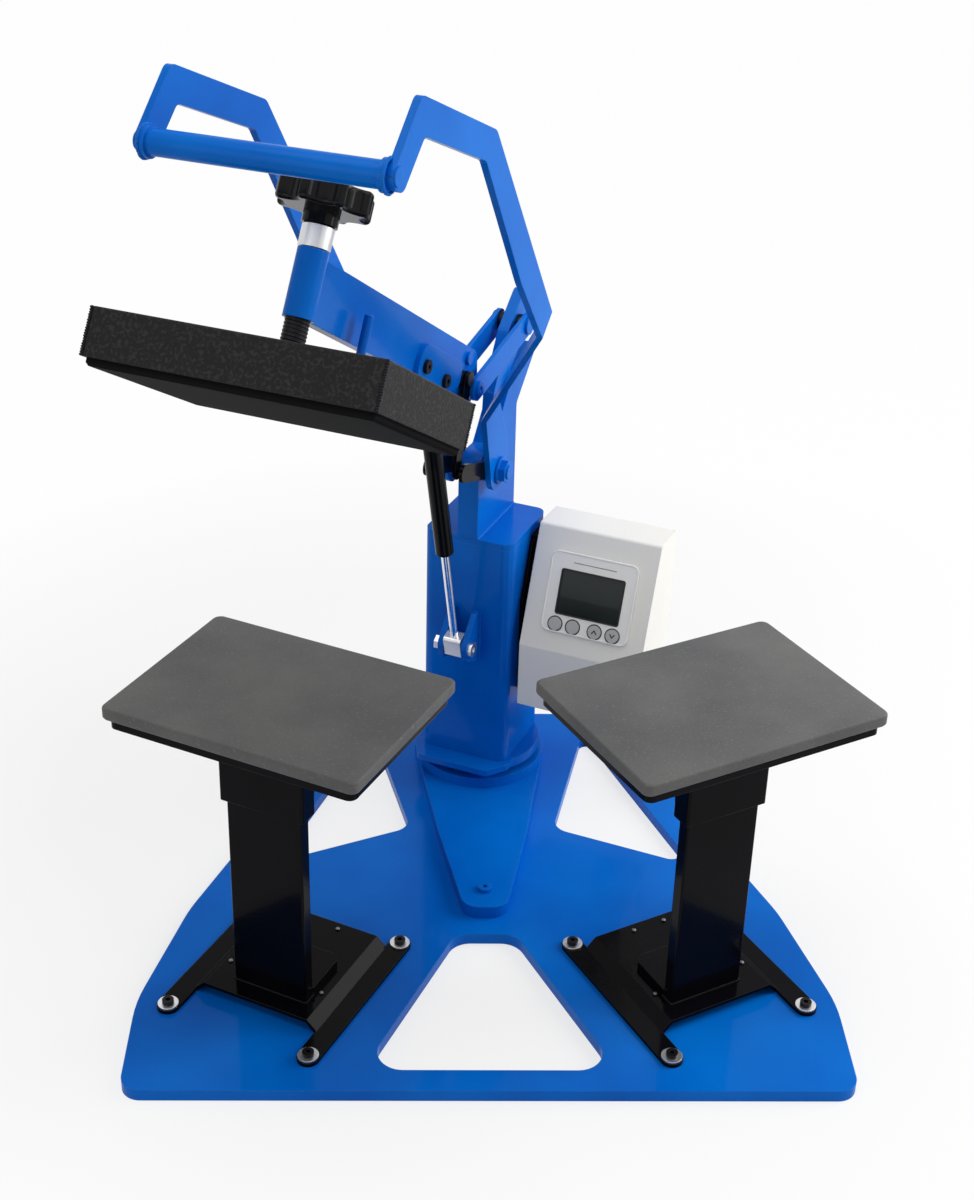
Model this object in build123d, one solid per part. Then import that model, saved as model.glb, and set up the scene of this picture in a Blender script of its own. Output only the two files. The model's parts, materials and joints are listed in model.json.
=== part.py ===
from build123d import *
import math
import os

os.makedirs("parts", exist_ok=True)

# Twin-table label press. Millimetres, +Z up, the bench at z = 0, the swing axis at x = y = 0.
# The stand faces -Y. The head is drawn facing -Y and then turned over the left table.

# the working size everything else follows from
PLATEN_X = 203.2
PLATEN_Y = 150.0

# stand
BASE_W = 532.0
BASE_FRONT = -417.5
BASE_REAR = 84.0
BASE_REAR_W = 242.0
BASE_T = 9.5
WINDOW_RAIL = 21.0
WINDOW_W = 186.0
WINDOW_D = 152.2
WINDOW_NECK = 48.0
STRUT_SCREW_Y = -201.0
FOOT_X = 154.46
FOOT_Y = -295.0
FOOT_TURN = 27.0
FOOT_SCREW_X = 121.5
FOOT_SCREW_Y = 141.5
BRACKET_T = 3.0
BRACKET_RISE = 8.0
RAIL_W = 17.0
DECK_HALF = 45.0
DECK_FRONT = -46.0
DECK_REAR = 62.0
RIVETS = ((-14.0, 54.6), (14.0, 54.6), (-40.0, -16.0), (40.0, -16.0))
WASHER_R = 7.8
WASHER_T = 1.5
SCREW_R = 3.0
SCREW_HOLE_R = 3.4
HEAD_R = 4.4
POST_W = 62.0
POST_T = 11.0
POST_Y = -25.5
POST_FLANGE = 42.0
POST_FLANGE_T = 6.0
TABLE_TOP = 267.5
PAD_T = 9.5
TABLE_PLATE_T = 8.0
PAD_CORNER_R = 6.0
PLATE_INSET = 4.0
TABLE_DX = 4.4
TABLE_DY = -2.31
SOCKET_W = 69.0
SOCKET_D = 18.0
SOCKET_Z = 186.0
SOCKET_FIT = 0.1
GUSSET_REACH = 22.0
GUSSET_LOW = 195.0

# turret
STRUT_T = 11.0
DISC_R = 56.0
DISC_T = 9.5
THRUST_R = 46.0
THRUST_T = 5.0
FLANGE_OUT = 4.0
FLANGE_NOSE = 58.0
FLANGE_R = 53.0
FLANGE_T = 9.0
RUN_GAP = 0.25
SPINDLE_BORE = 26.0
SPINDLE_R = 20.0
SPINDLE_FIT = 0.05
SPINDLE_TOP = 206.0

# column and mast
COLUMN_W = 80.0
COLUMN_WALL = 5.0
COLUMN_R = 9.0
COLUMN_TOP = 259.0
CAP_T = 6.0
MAST_T = 18.0
FIN_T = 9.6
PIVOT_BOLT_R = 6.0

# head: pivots in the side view (y towards the rear, z up), seen at rest
HEAD_TURN = -24.5
ARM_TILT = 30.5
ARM_PIVOT = (46.0, 421.0)
HANDLE_PIVOT = (-27.0, 320.0)
CRANK_PIN = (-86.0, 340.0)
SPRING_FOOT = (-60.0, 165.0)
SPRING_HEAD = (-124.0, 414.0)

# arm, drawn level and then tilted up
ARM_T = 10.0
ARM_LOW = 339.0
ARM_HIGH = 381.0
SCREW_Y = -334.0
BAR_END = (-33.0, 352.0)
LINK_PIN = (-50.0, 356.0)
LINK_PIN_R = 4.0
LINK_W = 12.0
BRACKET_PLATE_T = 4.0
BRACKET_BOLT_R = 3.0
BOLT_A = (-134.5, 349.0)
BOLT_B = (-92.6, 346.0)
END_BOLT = (-46.7, 372.5)
BAR_W = 20.0
BAR_T = 3.5
LINK_T = 2.5
LINK_GAP = 0.3
LAYER_GAP = 0.4
PIN_R = 5.0
PIN_FIT = 0.05
SLEEVE_R = 10.4
PRESS_SCREW_R = 8.0
SCREW_GAP = 0.6
COLLAR_R = 10.8
COLLAR_H = 16.0
KNOB_R = 32.5
KNOB_H = 17.0
KNOB_STEM_R = 12.0
KNOB_STEM_H = 9.0
LOBES = 8
SCALLOP_R = 11.0
SCALLOP_DEPTH = 6.5
GUIDE_R = 3.3
GUIDE_X = 15.0
GUIDE_Y = -262.6
GUIDE_TOP = 360.0

# platen, drawn level
PLATEN_LOW = 278.1
COVER_TOP = 315.0
HEAT_PLATE_T = 12.0
COVER_WALL = 2.0

# handle
HANDLE_IN = 82.0
HANDLE_T = 5.0
GRIP_Y = -358.0
GRIP_Z = 655.0
GRIP = (GRIP_Y, GRIP_Z)
HANDLE_REAR = (-210.0, 649.5)
HANDLE_INNER_REAR = (-227.0, 633.0)
HANDLE_INNER_LOW = (-158.0, 530.0)
HANDLE_BEND_FRONT = (-112.0, 474.0)
HANDLE_BEND_REAR = (-94.0, 489.0)
LEG_END = 16.0
GRIP_R = 8.6
GRIP_END_R = 6.0
LEG_IN = 17.0
CRANK_T = 3.0
CRANK_W = 15.0
CRANK_PIN_R = 3.0
CRANK_PLAY = 0.9

# gas spring
SPRING_R = 7.5
SPRING_ROD_R = 3.5
SPRING_OPEN = 105.5
LUG_IN = 8.2
LUG_T = 5.0
LUG_BOLT_R = 4.0
EYE_PIN_R = 2.5
EYE_PLAY = 4.4
EYE_WALL = 2.2

# control box
BOX_GAP = 8.0
BOX_W = 108.0
BOX_WALL = 2.0
BOX_BOTTOM = 105.0
BOX_BEND = 165.0
BOX_TOP = 264.3
BOX_FRONT = -34.0
BOX_TOP_FRONT = 5.3
BOX_BACK = 44.5
MOUNT_T = 2.5
MOUNT_FRONT = -16.0
MOUNT_BEND = 196.0
MOUNT_TOP_FRONT = 5.0
MOUNT_BACK = 30.0
PANEL_T = 1.6
PANEL_IN = 16.4
PANEL_W = 76.2
PANEL_S0 = 18.2
PANEL_S1 = 86.0
DISPLAY_IN = 27.0
DISPLAY_W = 55.8
DISPLAY_S0 = 33.6
DISPLAY_S1 = 71.8
KEY_R = 5.8
KEY_AT = (28.6, 44.4, 63.9, 79.8)
KEY_S = 24.5
SWITCH_Y = 20.0
SWITCH_Z = 128.0
ROCKER_DEPTH = 4.0
GLAND_IN = 76.0
GLAND_Y = 12.0
CORD_R = 4.0


def outline(corners):
    """Closed flat face; every corner is (u, v, radius)."""
    runs = []
    n = len(corners)
    for i in range(n):
        before = corners[i - 1]
        here = corners[i]
        after = corners[(i + 1) % n]
        p = Vector(here[0], here[1])
        r = here[2]
        if r <= 0:
            runs.append((p, p, p))
            continue
        u = (Vector(before[0], before[1]) - p).normalized()
        w = (Vector(after[0], after[1]) - p).normalized()
        half = math.acos(max(-1.0, min(1.0, u.dot(w)))) / 2
        back = r / math.tan(half)
        middle = p + (u + w).normalized() * (r / math.sin(half) - r)
        runs.append((p + u * back, middle, p + w * back))
    edges = []
    for i in range(n):
        start, middle, end = runs[i]
        following = runs[(i + 1) % n][0]
        if (end - start).length > 1e-6:
            edges.append(Edge.make_three_point_arc(start, middle, end))
        if (following - end).length > 1e-6:
            edges.append(Edge.make_line(end, following))
    return Face(Wire(edges))


def flat(corners, z0, z1):
    """Plate lying flat: corners in x and y."""
    return extrude(Pos(0, 0, z0) * outline(corners), amount=z1 - z0, dir=(0, 0, 1))


def side(corners, x0, x1):
    """Plate standing fore and aft: corners in y and z."""
    plane = Plane(origin=(x0, 0, 0), x_dir=(0, 1, 0), z_dir=(1, 0, 0))
    return extrude(plane * outline(corners), amount=x1 - x0, dir=(1, 0, 0))


def across(corners, y0, y1):
    """Plate standing crosswise: corners in x and z."""
    plane = Plane(origin=(0, y1, 0), x_dir=(1, 0, 0), z_dir=(0, -1, 0))
    return extrude(plane * outline(corners), amount=y1 - y0, dir=(0, -1, 0))


def rod(a, b, r):
    """Round bar from a to b."""
    a = Vector(*a)
    b = Vector(*b)
    plane = Plane(origin=a, z_dir=(b - a))
    return plane * Cylinder(r, (b - a).length, align=(Align.CENTER, Align.CENTER, Align.MIN))


def tube(a, b, outer, inner):
    return rod(a, b, outer) - rod(a, b, inner)


def nut(a, b, flats):
    """Six-sided head or nut from a to b."""
    a = Vector(*a)
    b = Vector(*b)
    plane = Plane(origin=a, z_dir=(b - a))
    return extrude(plane * RegularPolygon(flats / math.sqrt(3), 6), amount=(b - a).length)


def box(x0, x1, y0, y1, z0, z1):
    middle = Pos((x0 + x1) / 2, (y0 + y1) / 2, (z0 + z1) / 2)
    return middle * Box(x1 - x0, y1 - y0, z1 - z0)


def mirrored(shape):
    """The other side's piece."""
    return mirror(shape, about=Plane.YZ)


def group(shapes):
    """Separate solids kept together in one node."""
    return Compound([solid for shape in shapes for solid in shape.solids()])


def both(shape):
    return group([shape, mirrored(shape)])


def level_to_tilted(point):
    """A point of the level arm as it stands with the arm raised."""
    a = math.radians(-ARM_TILT)
    y = point[0] - ARM_PIVOT[0]
    z = point[1] - ARM_PIVOT[1]
    turned = (math.cos(a) * y - math.sin(a) * z, math.sin(a) * y + math.cos(a) * z)
    return (ARM_PIVOT[0] + turned[0], ARM_PIVOT[1] + turned[1])


def tilted_to_level(point):
    a = math.radians(ARM_TILT)
    y = point[0] - ARM_PIVOT[0]
    z = point[1] - ARM_PIVOT[1]
    turned = (math.cos(a) * y - math.sin(a) * z, math.sin(a) * y + math.cos(a) * z)
    return (ARM_PIVOT[0] + turned[0], ARM_PIVOT[1] + turned[1])


def save(name, shape):
    export_step(shape, "parts/" + name + ".step")


def save_head(name, shape):
    """Pieces that turn with the head."""
    save(name, Rot(0, 0, HEAD_TURN) * shape)


def save_arm(name, shape):
    """Pieces drawn on the level arm."""
    raised = Pos(0, ARM_PIVOT[0], ARM_PIVOT[1]) * Rot(-ARM_TILT, 0, 0)
    save_head(name, raised * (Pos(0, -ARM_PIVOT[0], -ARM_PIVOT[1]) * shape))


# stand
base_half = BASE_W / 2
rear_half = BASE_REAR_W / 2
plate_outline = [
    (1 - base_half, BASE_FRONT, 15), (-base_half, BASE_FRONT + 92.5, 140),
    (27 - base_half, BASE_FRONT + 202.5, 160), (-rear_half, BASE_REAR, 13),
    (rear_half, BASE_REAR, 13), (base_half - 27, BASE_FRONT + 202.5, 160),
    (base_half, BASE_FRONT + 92.5, 140), (base_half - 1, BASE_FRONT, 15),
]
window_low = BASE_FRONT + WINDOW_RAIL
window_high = window_low + WINDOW_D
front_window = [
    (-WINDOW_W / 2, window_low, 19), (WINDOW_W / 2, window_low, 19),
    (WINDOW_NECK / 2, window_high, 19), (-WINDOW_NECK / 2, window_high, 19),
]
side_window = [(62, -101, 15), (178, -153, 10), (100, 59, 7)]
base = flat(plate_outline, 0, BASE_T)
base -= flat(front_window, -1, BASE_T + 1)
right_window = flat(side_window, -1, BASE_T + 1)
base -= right_window
base -= mirrored(right_window)


def at_foot(shape, sign):
    """Places a piece drawn about a foot's centre; sign is -1 on the left and 1 on the right."""
    return Pos(sign * FOOT_X, FOOT_Y, 0) * (Rot(0, 0, sign * FOOT_TURN) * shape)


foot_holes = [(sx * FOOT_SCREW_X / 2, sy * FOOT_SCREW_Y / 2) for sx in (-1, 1) for sy in (-1, 1)]
for sign in (-1, 1):
    for hx, hy in foot_holes:
        base -= at_foot(rod((hx, hy, -1), (hx, hy, BASE_T + 1), SCREW_R + 0.02), sign)
base -= rod((0, STRUT_SCREW_Y, -1), (0, STRUT_SCREW_Y, BASE_T + 1), SCREW_R + 0.02)
save("base_plate", base)

strut_top = BASE_T + STRUT_T
strut_nose = STRUT_SCREW_Y - 23
strut_tail = DISC_R + 14
strut_wide = DISC_R + 4
SPIGOT_R = 8.0
strut = flat([
    (-17, strut_nose, 15), (17, strut_nose, 15), (38, -120, 200), (strut_wide, 20, 30),
    (40, strut_tail, 26), (-40, strut_tail, 26), (-strut_wide, 20, 30), (-38, -120, 200),
], BASE_T, strut_top)
strut -= rod((0, STRUT_SCREW_Y, BASE_T - 1), (0, STRUT_SCREW_Y, strut_top + 1), SCREW_HOLE_R)
strut -= rod((0, 0, BASE_T - 1), (0, 0, strut_top + 1), SPIGOT_R + 0.2)
save("spindle_strut", strut)

disc_top = strut_top + DISC_T
bearing_disc = rod((0, 0, strut_top), (0, 0, disc_top), DISC_R)
bearing_disc -= rod((0, 0, strut_top), (0, 0, disc_top), SPINDLE_R)
stop_y = -DISC_R + 7
bearing_disc -= rod((4, stop_y, strut_top + 2), (4, stop_y, disc_top + 1), SCREW_R + 0.02)
save("bearing_disc", bearing_disc)

strut_screw = rod((0, STRUT_SCREW_Y, 0.5), (0, STRUT_SCREW_Y, strut_top), SCREW_R)
strut_screw += rod((0, STRUT_SCREW_Y, strut_top), (0, STRUT_SCREW_Y, strut_top + 3.4), 5.6)
strut_screw -= nut((0, STRUT_SCREW_Y, strut_top + 1), (0, STRUT_SCREW_Y, strut_top + 4), 4.0)
stop_bolt = rod((4, stop_y, strut_top + 2.2), (4, stop_y, disc_top), SCREW_R)
stop_bolt += nut((4, stop_y, disc_top), (4, stop_y, disc_top + 4.2), 8.0)
save("strut_screws", group([strut_screw, stop_bolt]))

thrust_top = disc_top + THRUST_T
save("thrust_washer", tube((0, 0, disc_top), (0, 0, thrust_top), THRUST_R - 6, SPINDLE_R + 0.2))

flange_low = thrust_top + RUN_GAP
flange_top = flange_low + FLANGE_T
spindle = rod((0, 0, strut_top), (0, 0, SPINDLE_TOP), SPINDLE_R)
spindle -= rod((0, 0, SPINDLE_TOP - SPINDLE_BORE), (0, 0, SPINDLE_TOP + 1), 6.0)
spindle += rod((0, 0, BASE_T + 0.1), (0, 0, strut_top), SPIGOT_R)
save("spindle", spindle)

BUSH_T = 14.0
NUT_T = 9.7
bush_high = SPINDLE_TOP - NUT_T - RUN_GAP - BUSH_T
spindle_nut = rod((0, 0, SPINDLE_TOP - NUT_T), (0, 0, SPINDLE_TOP), SPINDLE_R + 7)
spindle_nut -= rod((0, 0, SPINDLE_TOP - NUT_T - 1), (0, 0, SPINDLE_TOP + 1), SPINDLE_R)
save("spindle_nut", spindle_nut)

rail_in = FOOT_SCREW_X / 2 - RAIL_W / 2
rail_out = FOOT_SCREW_X / 2 + RAIL_W / 2
rail_top = BASE_T + BRACKET_T
deck_top = rail_top + BRACKET_RISE
hat = across([
    (-rail_in, BASE_T, 0), (-DECK_HALF + 1, deck_top - BRACKET_T, 0),
    (DECK_HALF - 1, deck_top - BRACKET_T, 0), (rail_in, BASE_T, 0), (rail_out, BASE_T, 0),
    (rail_out, rail_top, 0), (rail_in + 1, rail_top, 0), (DECK_HALF, deck_top, 0),
    (-DECK_HALF, deck_top, 0), (-rail_in - 1, rail_top, 0), (-rail_out, rail_top, 0),
    (-rail_out, BASE_T, 0),
], DECK_FRONT, DECK_REAR)
ear_end = FOOT_SCREW_Y / 2 + RAIL_W / 2
for sx in (-1, 1):
    low = sx * FOOT_SCREW_X / 2 - RAIL_W / 2
    high = sx * FOOT_SCREW_X / 2 + RAIL_W / 2
    hat += flat([
        (low, -ear_end, RAIL_W / 2 - 0.01), (high, -ear_end, RAIL_W / 2 - 0.01),
        (high, ear_end, RAIL_W / 2 - 0.01), (low, ear_end, RAIL_W / 2 - 0.01),
    ], BASE_T, rail_top)
for hx, hy in foot_holes:
    hat -= rod((hx, hy, 0), (hx, hy, 30), SCREW_HOLE_R)

bracket_washer = tube((0, 0, rail_top), (0, 0, rail_top + WASHER_T), WASHER_R, SCREW_HOLE_R)
head_low = rail_top + WASHER_T
bracket_screw = rod((0, 0, 1.0), (0, 0, head_low), SCREW_R)
bracket_screw += rod((0, 0, head_low), (0, 0, head_low + 3.0), HEAD_R)
bracket_screw -= nut((0, 0, head_low + 0.9), (0, 0, head_low + 4), 3.6)

plate_low = TABLE_TOP - PAD_T - TABLE_PLATE_T
plate_top = plate_low + TABLE_PLATE_T
post_rear = POST_Y + POST_T / 2
post = box(-POST_W / 2, POST_W / 2, POST_Y - POST_T / 2, post_rear, deck_top, plate_low - 1)
post = fillet(post.edges().filter_by(Axis.Z), 1.5)
post += flat([
    (-POST_W / 2, post_rear - 2, 0), (POST_W / 2, post_rear - 2, 0),
    (POST_W / 2, post_rear + POST_FLANGE - 6, 0), (POST_W / 2 - 6, post_rear + POST_FLANGE, 0),
    (6 - POST_W / 2, post_rear + POST_FLANGE, 0), (-POST_W / 2, post_rear + POST_FLANGE - 6, 0),
], deck_top, deck_top + POST_FLANGE_T)


def table_pieces(sign):
    """Post, table plate with its socket, and pad, drawn about the foot's centre."""
    cx = -sign * TABLE_DX
    half_x = PLATEN_X / 2 - PLATE_INSET
    half_y = PLATEN_Y / 2 - PLATE_INSET
    plate = flat([
        (cx - half_x, TABLE_DY - half_y, PAD_CORNER_R), (cx + half_x, TABLE_DY - half_y, PAD_CORNER_R),
        (cx + half_x, TABLE_DY + half_y, PAD_CORNER_R), (cx - half_x, TABLE_DY + half_y, PAD_CORNER_R),
    ], plate_low, plate_top)
    socket_front = POST_Y - SOCKET_D / 2
    socket_rear = POST_Y + SOCKET_D / 2
    collar = flat([
        (-SOCKET_W / 2, socket_front, 2), (SOCKET_W / 2, socket_front, 2),
        (SOCKET_W / 2, socket_rear, 2), (-SOCKET_W / 2, socket_rear, 2),
    ], SOCKET_Z, plate_low)
    gap_x = POST_W / 2 + SOCKET_FIT
    gap_y = POST_T / 2 + SOCKET_FIT
    inside = box(-gap_x, gap_x, POST_Y - gap_y, POST_Y + gap_y, SOCKET_Z - 1, plate_low)
    gusset = side([
        (socket_rear - 1, GUSSET_LOW, 0), (socket_rear - 1, plate_low, 0),
        (socket_rear + GUSSET_REACH, plate_low, 0), (socket_rear + 4, plate_low - 20, 40),
        (socket_rear, GUSSET_LOW, 0),
    ], -SOCKET_W / 2 + 1, SOCKET_W / 2 - 1)
    socket = Pos(cx, 0, 0) * ((collar - inside) + gusset)
    pad = flat([
        (cx - PLATEN_X / 2, TABLE_DY - PLATEN_Y / 2, PAD_CORNER_R),
        (cx + PLATEN_X / 2, TABLE_DY - PLATEN_Y / 2, PAD_CORNER_R),
        (cx + PLATEN_X / 2, TABLE_DY + PLATEN_Y / 2, PAD_CORNER_R),
        (cx - PLATEN_X / 2, TABLE_DY + PLATEN_Y / 2, PAD_CORNER_R),
    ], plate_top, TABLE_TOP)
    return Pos(cx, 0, 0) * post, plate + socket, pad


for rivet in RIVETS:
    hat += rod((*rivet, deck_top - 1), (*rivet, deck_top + 1.2), 1.8)
washers = []
screws = []
for sign, word in ((-1, "left"), (1, "right")):
    save("foot_bracket_" + word, at_foot(hat, sign))
    standing_post, plate, pad = table_pieces(sign)
    save("post_" + word, at_foot(standing_post, sign))
    save("table_plate_" + word, at_foot(plate, sign))
    save("table_pad_" + word, at_foot(pad, sign))
    for hx, hy in foot_holes:
        washers.append(at_foot(Pos(hx, hy, 0) * bracket_washer, sign))
        screws.append(at_foot(Pos(hx, hy, 0) * bracket_screw, sign))
save("bracket_washers", group(washers))
save("bracket_screws", group(screws))

# turning column
half = COLUMN_W / 2
square = [(-half, -half, COLUMN_R), (half, -half, COLUMN_R), (half, half, COLUMN_R), (-half, half, COLUMN_R)]
inner = half - COLUMN_WALL
hollow = [(-inner, -inner, 4), (inner, -inner, 4), (inner, inner, 4), (-inner, inner, 4)]
flange = rod((0, 0, flange_low), (0, 0, flange_top), FLANGE_R)
flange_side = half + FLANGE_OUT
flange += flat([
    (8 - flange_side, -FLANGE_NOSE, 8), (flange_side - 14, -FLANGE_NOSE, 8), (flange_side, 18 - FLANGE_NOSE, 10),
    (flange_side, 0, 0), (-flange_side, 0, 0), (-flange_side, 14 - FLANGE_NOSE, 10),
], flange_low + 3, flange_top)
flange -= rod((0, 0, flange_low - 1), (0, 0, flange_top + 1), SPINDLE_R + 1.5)
save_head("column_flange", flange)

cap_low = COLUMN_TOP - CAP_T
column = flat(square, flange_top, cap_low) - flat(hollow, flange_top - 1, cap_low + 1)
save_head("column_tube", column)
save_head("column_cap", flat(square, cap_low, COLUMN_TOP))

bush_half = inner - 0.05
bush_square = [(-bush_half, -bush_half, 4), (bush_half, -bush_half, 4),
               (bush_half, bush_half, 4), (-bush_half, bush_half, 4)]
bushings = []
for z in (flange_top, bush_high):
    block = flat(bush_square, z, z + BUSH_T)
    bushings.append(block - rod((0, 0, z - 1), (0, 0, z + BUSH_T + 1), SPINDLE_R + SPINDLE_FIT))
save_head("spindle_bushings", group(bushings))

# mast with the leaning fin that carries the arm's pivot
py, pz = HANDLE_PIVOT
uy, uz = ARM_PIVOT
mast = side([
    (-half, COLUMN_TOP, 0), (-half, pz + 13, 12.9), (py + 15, pz + 13, 3), (uy - 20, uz - 41, 6),
    (uy + 42, uz - 23, 3), (half - 1, uz - 68, 6), (half, COLUMN_TOP, 0),
], -MAST_T / 2, MAST_T / 2)
mast += side([
    (py + 21, pz + 16, 0), (uy - 48, uz - 45, 12), (uy - 20, uz, 14), (uy + 14, uz + 26, 7),
    (uy + 40, uz + 16, 8), (uy + 24, uz - 6, 6), (uy - 12, uz - 37, 0), (uy - 12, uz - 71, 0),
], -FIN_T / 2, FIN_T / 2)
mast -= rod((-MAST_T, uy, uz), (MAST_T, uy, uz), PIN_R + PIN_FIT)
mast -= rod((-MAST_T, py, pz), (MAST_T, py, pz), PIVOT_BOLT_R)
save_head("mast", mast)

# spring lugs on the column's front face
sy, sz = SPRING_FOOT
lug_out = LUG_IN + LUG_T
lug = side([
    (-half, sz - 22, 0), (-half, sz + 27, 0), (-half - 7, sz + 27, 4), (sy - 9, sz + 4, 8),
    (sy - 6, sz - 10, 6),
], LUG_IN, lug_out)
lug -= rod((0, sy, sz), (lug_out + 1, sy, sz), LUG_BOLT_R)
save_head("spring_lugs", both(lug))
lug_bolt = rod((-lug_out, sy, sz), (lug_out, sy, sz), LUG_BOLT_R)
lug_bolt += rod((lug_out, sy, sz), (lug_out + 3.4, sy, sz), LUG_BOLT_R + 2.4)
lug_bolt += nut((-lug_out - 4.8, sy, sz), (-lug_out, sy, sz), 11.0)
lug_bolt -= nut((lug_out + 2, sy, sz), (lug_out + 4, sy, sz), 4.4)
save_head("spring_lug_bolt", lug_bolt)

# gas spring
hy, hz = SPRING_HEAD
foot_pt = Vector(0, sy, sz)
head_pt = Vector(0, hy, hz)
spring_len = (head_pt - foot_pt).length
spring_plane = Plane(origin=foot_pt, x_dir=(1, 0, 0), z_dir=(head_pt - foot_pt))


def on_spring(shape):
    """Drawn along +Z from the lower eye."""
    return spring_plane * shape


eye_half = LUG_IN - 0.5
eye_block = box(-eye_half, eye_half, -7.0, 7.0, -7.5, 12.5)
eye_block = fillet(eye_block.edges().filter_by(Axis.X), 3.0)
eye_block -= rod((-LUG_IN, 0, 0), (LUG_IN, 0, 0), LUG_BOLT_R + PIN_FIT)
eye_block -= rod((0, 0, 5.0), (0, 0, 14), SPRING_ROD_R)
save_head("spring_eye", on_spring(eye_block))
piston_at = SPRING_OPEN + 20
spring_rod = rod((0, 0, 5.0), (0, 0, piston_at), SPRING_ROD_R)
spring_rod += rod((0, 0, piston_at - 8), (0, 0, piston_at), 5.8)
save_head("spring_rod", on_spring(spring_rod))
cylinder_top = spring_len - 16.0
cylinder = rod((0, 0, SPRING_OPEN), (0, 0, cylinder_top), SPRING_R)
cylinder -= rod((0, 0, SPRING_OPEN + 8), (0, 0, cylinder_top - 4), 5.9)
cylinder -= rod((0, 0, SPRING_OPEN - 1), (0, 0, SPRING_OPEN + 9), SPRING_ROD_R + PIN_FIT)
eye_r = EYE_PIN_R + EYE_PLAY
eye_out = eye_r + EYE_WALL
cylinder += rod((0, 0, cylinder_top), (0, 0, spring_len - 6), 4.5)
cylinder += rod((-4.6, 0, spring_len), (4.6, 0, spring_len), eye_out)
cylinder -= rod((-6, 0, spring_len), (6, 0, spring_len), eye_r)
save_head("spring_cylinder", on_spring(cylinder))

# arm, drawn level
sly, slz = tilted_to_level(SPRING_HEAD)
by, bz = BAR_END
ly, lz = LINK_PIN
arm_half = ARM_T / 2
arm_plate = side([
    (SCREW_Y + 4, ARM_LOW, 0), (SCREW_Y + 4, ARM_HIGH, 0), (by + 3, ARM_HIGH, 14),
    (by + 15, ARM_HIGH - 19, 10), (by + 15, ARM_LOW, 10),
], -arm_half, arm_half)
arm_plate -= rod((0, SCREW_Y, ARM_LOW - 1), (0, SCREW_Y, ARM_HIGH + 1), SLEEVE_R)
arm_plate -= rod((-ARM_T, sly, slz), (ARM_T, sly, slz), eye_out + EYE_PLAY + 0.4)
arm_plate -= rod((-ARM_T, by, bz), (ARM_T, by, bz), PIN_R)
arm_plate -= rod((-ARM_T, ly, lz), (ARM_T, ly, lz), LINK_PIN_R)
for bolt_at in (BOLT_A, BOLT_B, END_BOLT):
    arm_plate -= rod((-ARM_T, *bolt_at), (ARM_T, *bolt_at), BRACKET_BOLT_R)
save_arm("arm_plate", arm_plate)

sleeve_top = ARM_HIGH + 3.0
bore = PRESS_SCREW_R + SCREW_GAP
save_arm("arm_sleeve", tube((0, SCREW_Y, ARM_LOW), (0, SCREW_Y, sleeve_top), SLEEVE_R, bore))
collar_top = sleeve_top + COLLAR_H
collar = rod((0, SCREW_Y, sleeve_top), (0, SCREW_Y, collar_top), COLLAR_R)
collar = chamfer(collar.edges().filter_by(GeomType.CIRCLE), 0.8)
collar -= rod((0, SCREW_Y, sleeve_top - 1), (0, SCREW_Y, collar_top + 1), bore)
save_arm("screw_collar", collar)

bar_axis = (uy - by, uz - bz)
bar_len = math.hypot(*bar_axis)
nx = -bar_axis[1] / bar_len * BAR_W / 2
nz = bar_axis[0] / bar_len * BAR_W / 2
link_x = SPRING_R + LAYER_GAP
link_out = link_x + LINK_T
bar_x = link_out + LINK_GAP
bar_out = bar_x + BAR_T
bar = side([(by + nx, bz + nz, 0), (uy + nx, uz + nz, 0), (uy - nx, uz - nz, 0), (by - nx, bz - nz, 0)],
           bar_x, bar_out)
bar += rod((bar_x, by, bz), (bar_out, by, bz), BAR_W / 2)
bar += rod((bar_x, uy, uz), (bar_out, uy, uz), BAR_W / 2)
bar -= rod((0, by, bz), (bar_out + 1, by, bz), PIN_R)
bar -= rod((0, uy, uz), (bar_out + 1, uy, uz), PIN_R)
save_arm("pivot_bars", both(bar))

fin_side = FIN_T / 2 + LINK_GAP
bolt_set = []
for s in (-1, 1):
    bolt_set.append(tube((s * arm_half, by, bz), (s * bar_x, by, bz), PIN_R + 2.4, PIN_R))
    bolt_set.append(tube((s * fin_side, uy, uz), (s * bar_x, uy, uz), PIN_R + 3.0, PIN_R))

pivot_pin = rod((-bar_out, uy, uz), (bar_out, uy, uz), PIN_R)
for s in (-1, 1):
    pivot_pin += rod((s * bar_out, uy, uz), (s * (bar_out + 2.2), uy, uz), 8.0)
save_arm("arm_pivot_pin", pivot_pin)

bar_bolt = rod((-bar_out, by, bz), (bar_out, by, bz), PIN_R)
bar_bolt += rod((bar_out, by, bz), (bar_out + 2.2, by, bz), 6.0)
bar_bolt += nut((-bar_out - 2.4, by, bz), (-bar_out, by, bz), 11.0)
bar_bolt -= nut((bar_out + 1.2, by, bz), (bar_out + 4, by, bz), 4.4)
save_arm("bar_bolt", bar_bolt)

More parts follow.
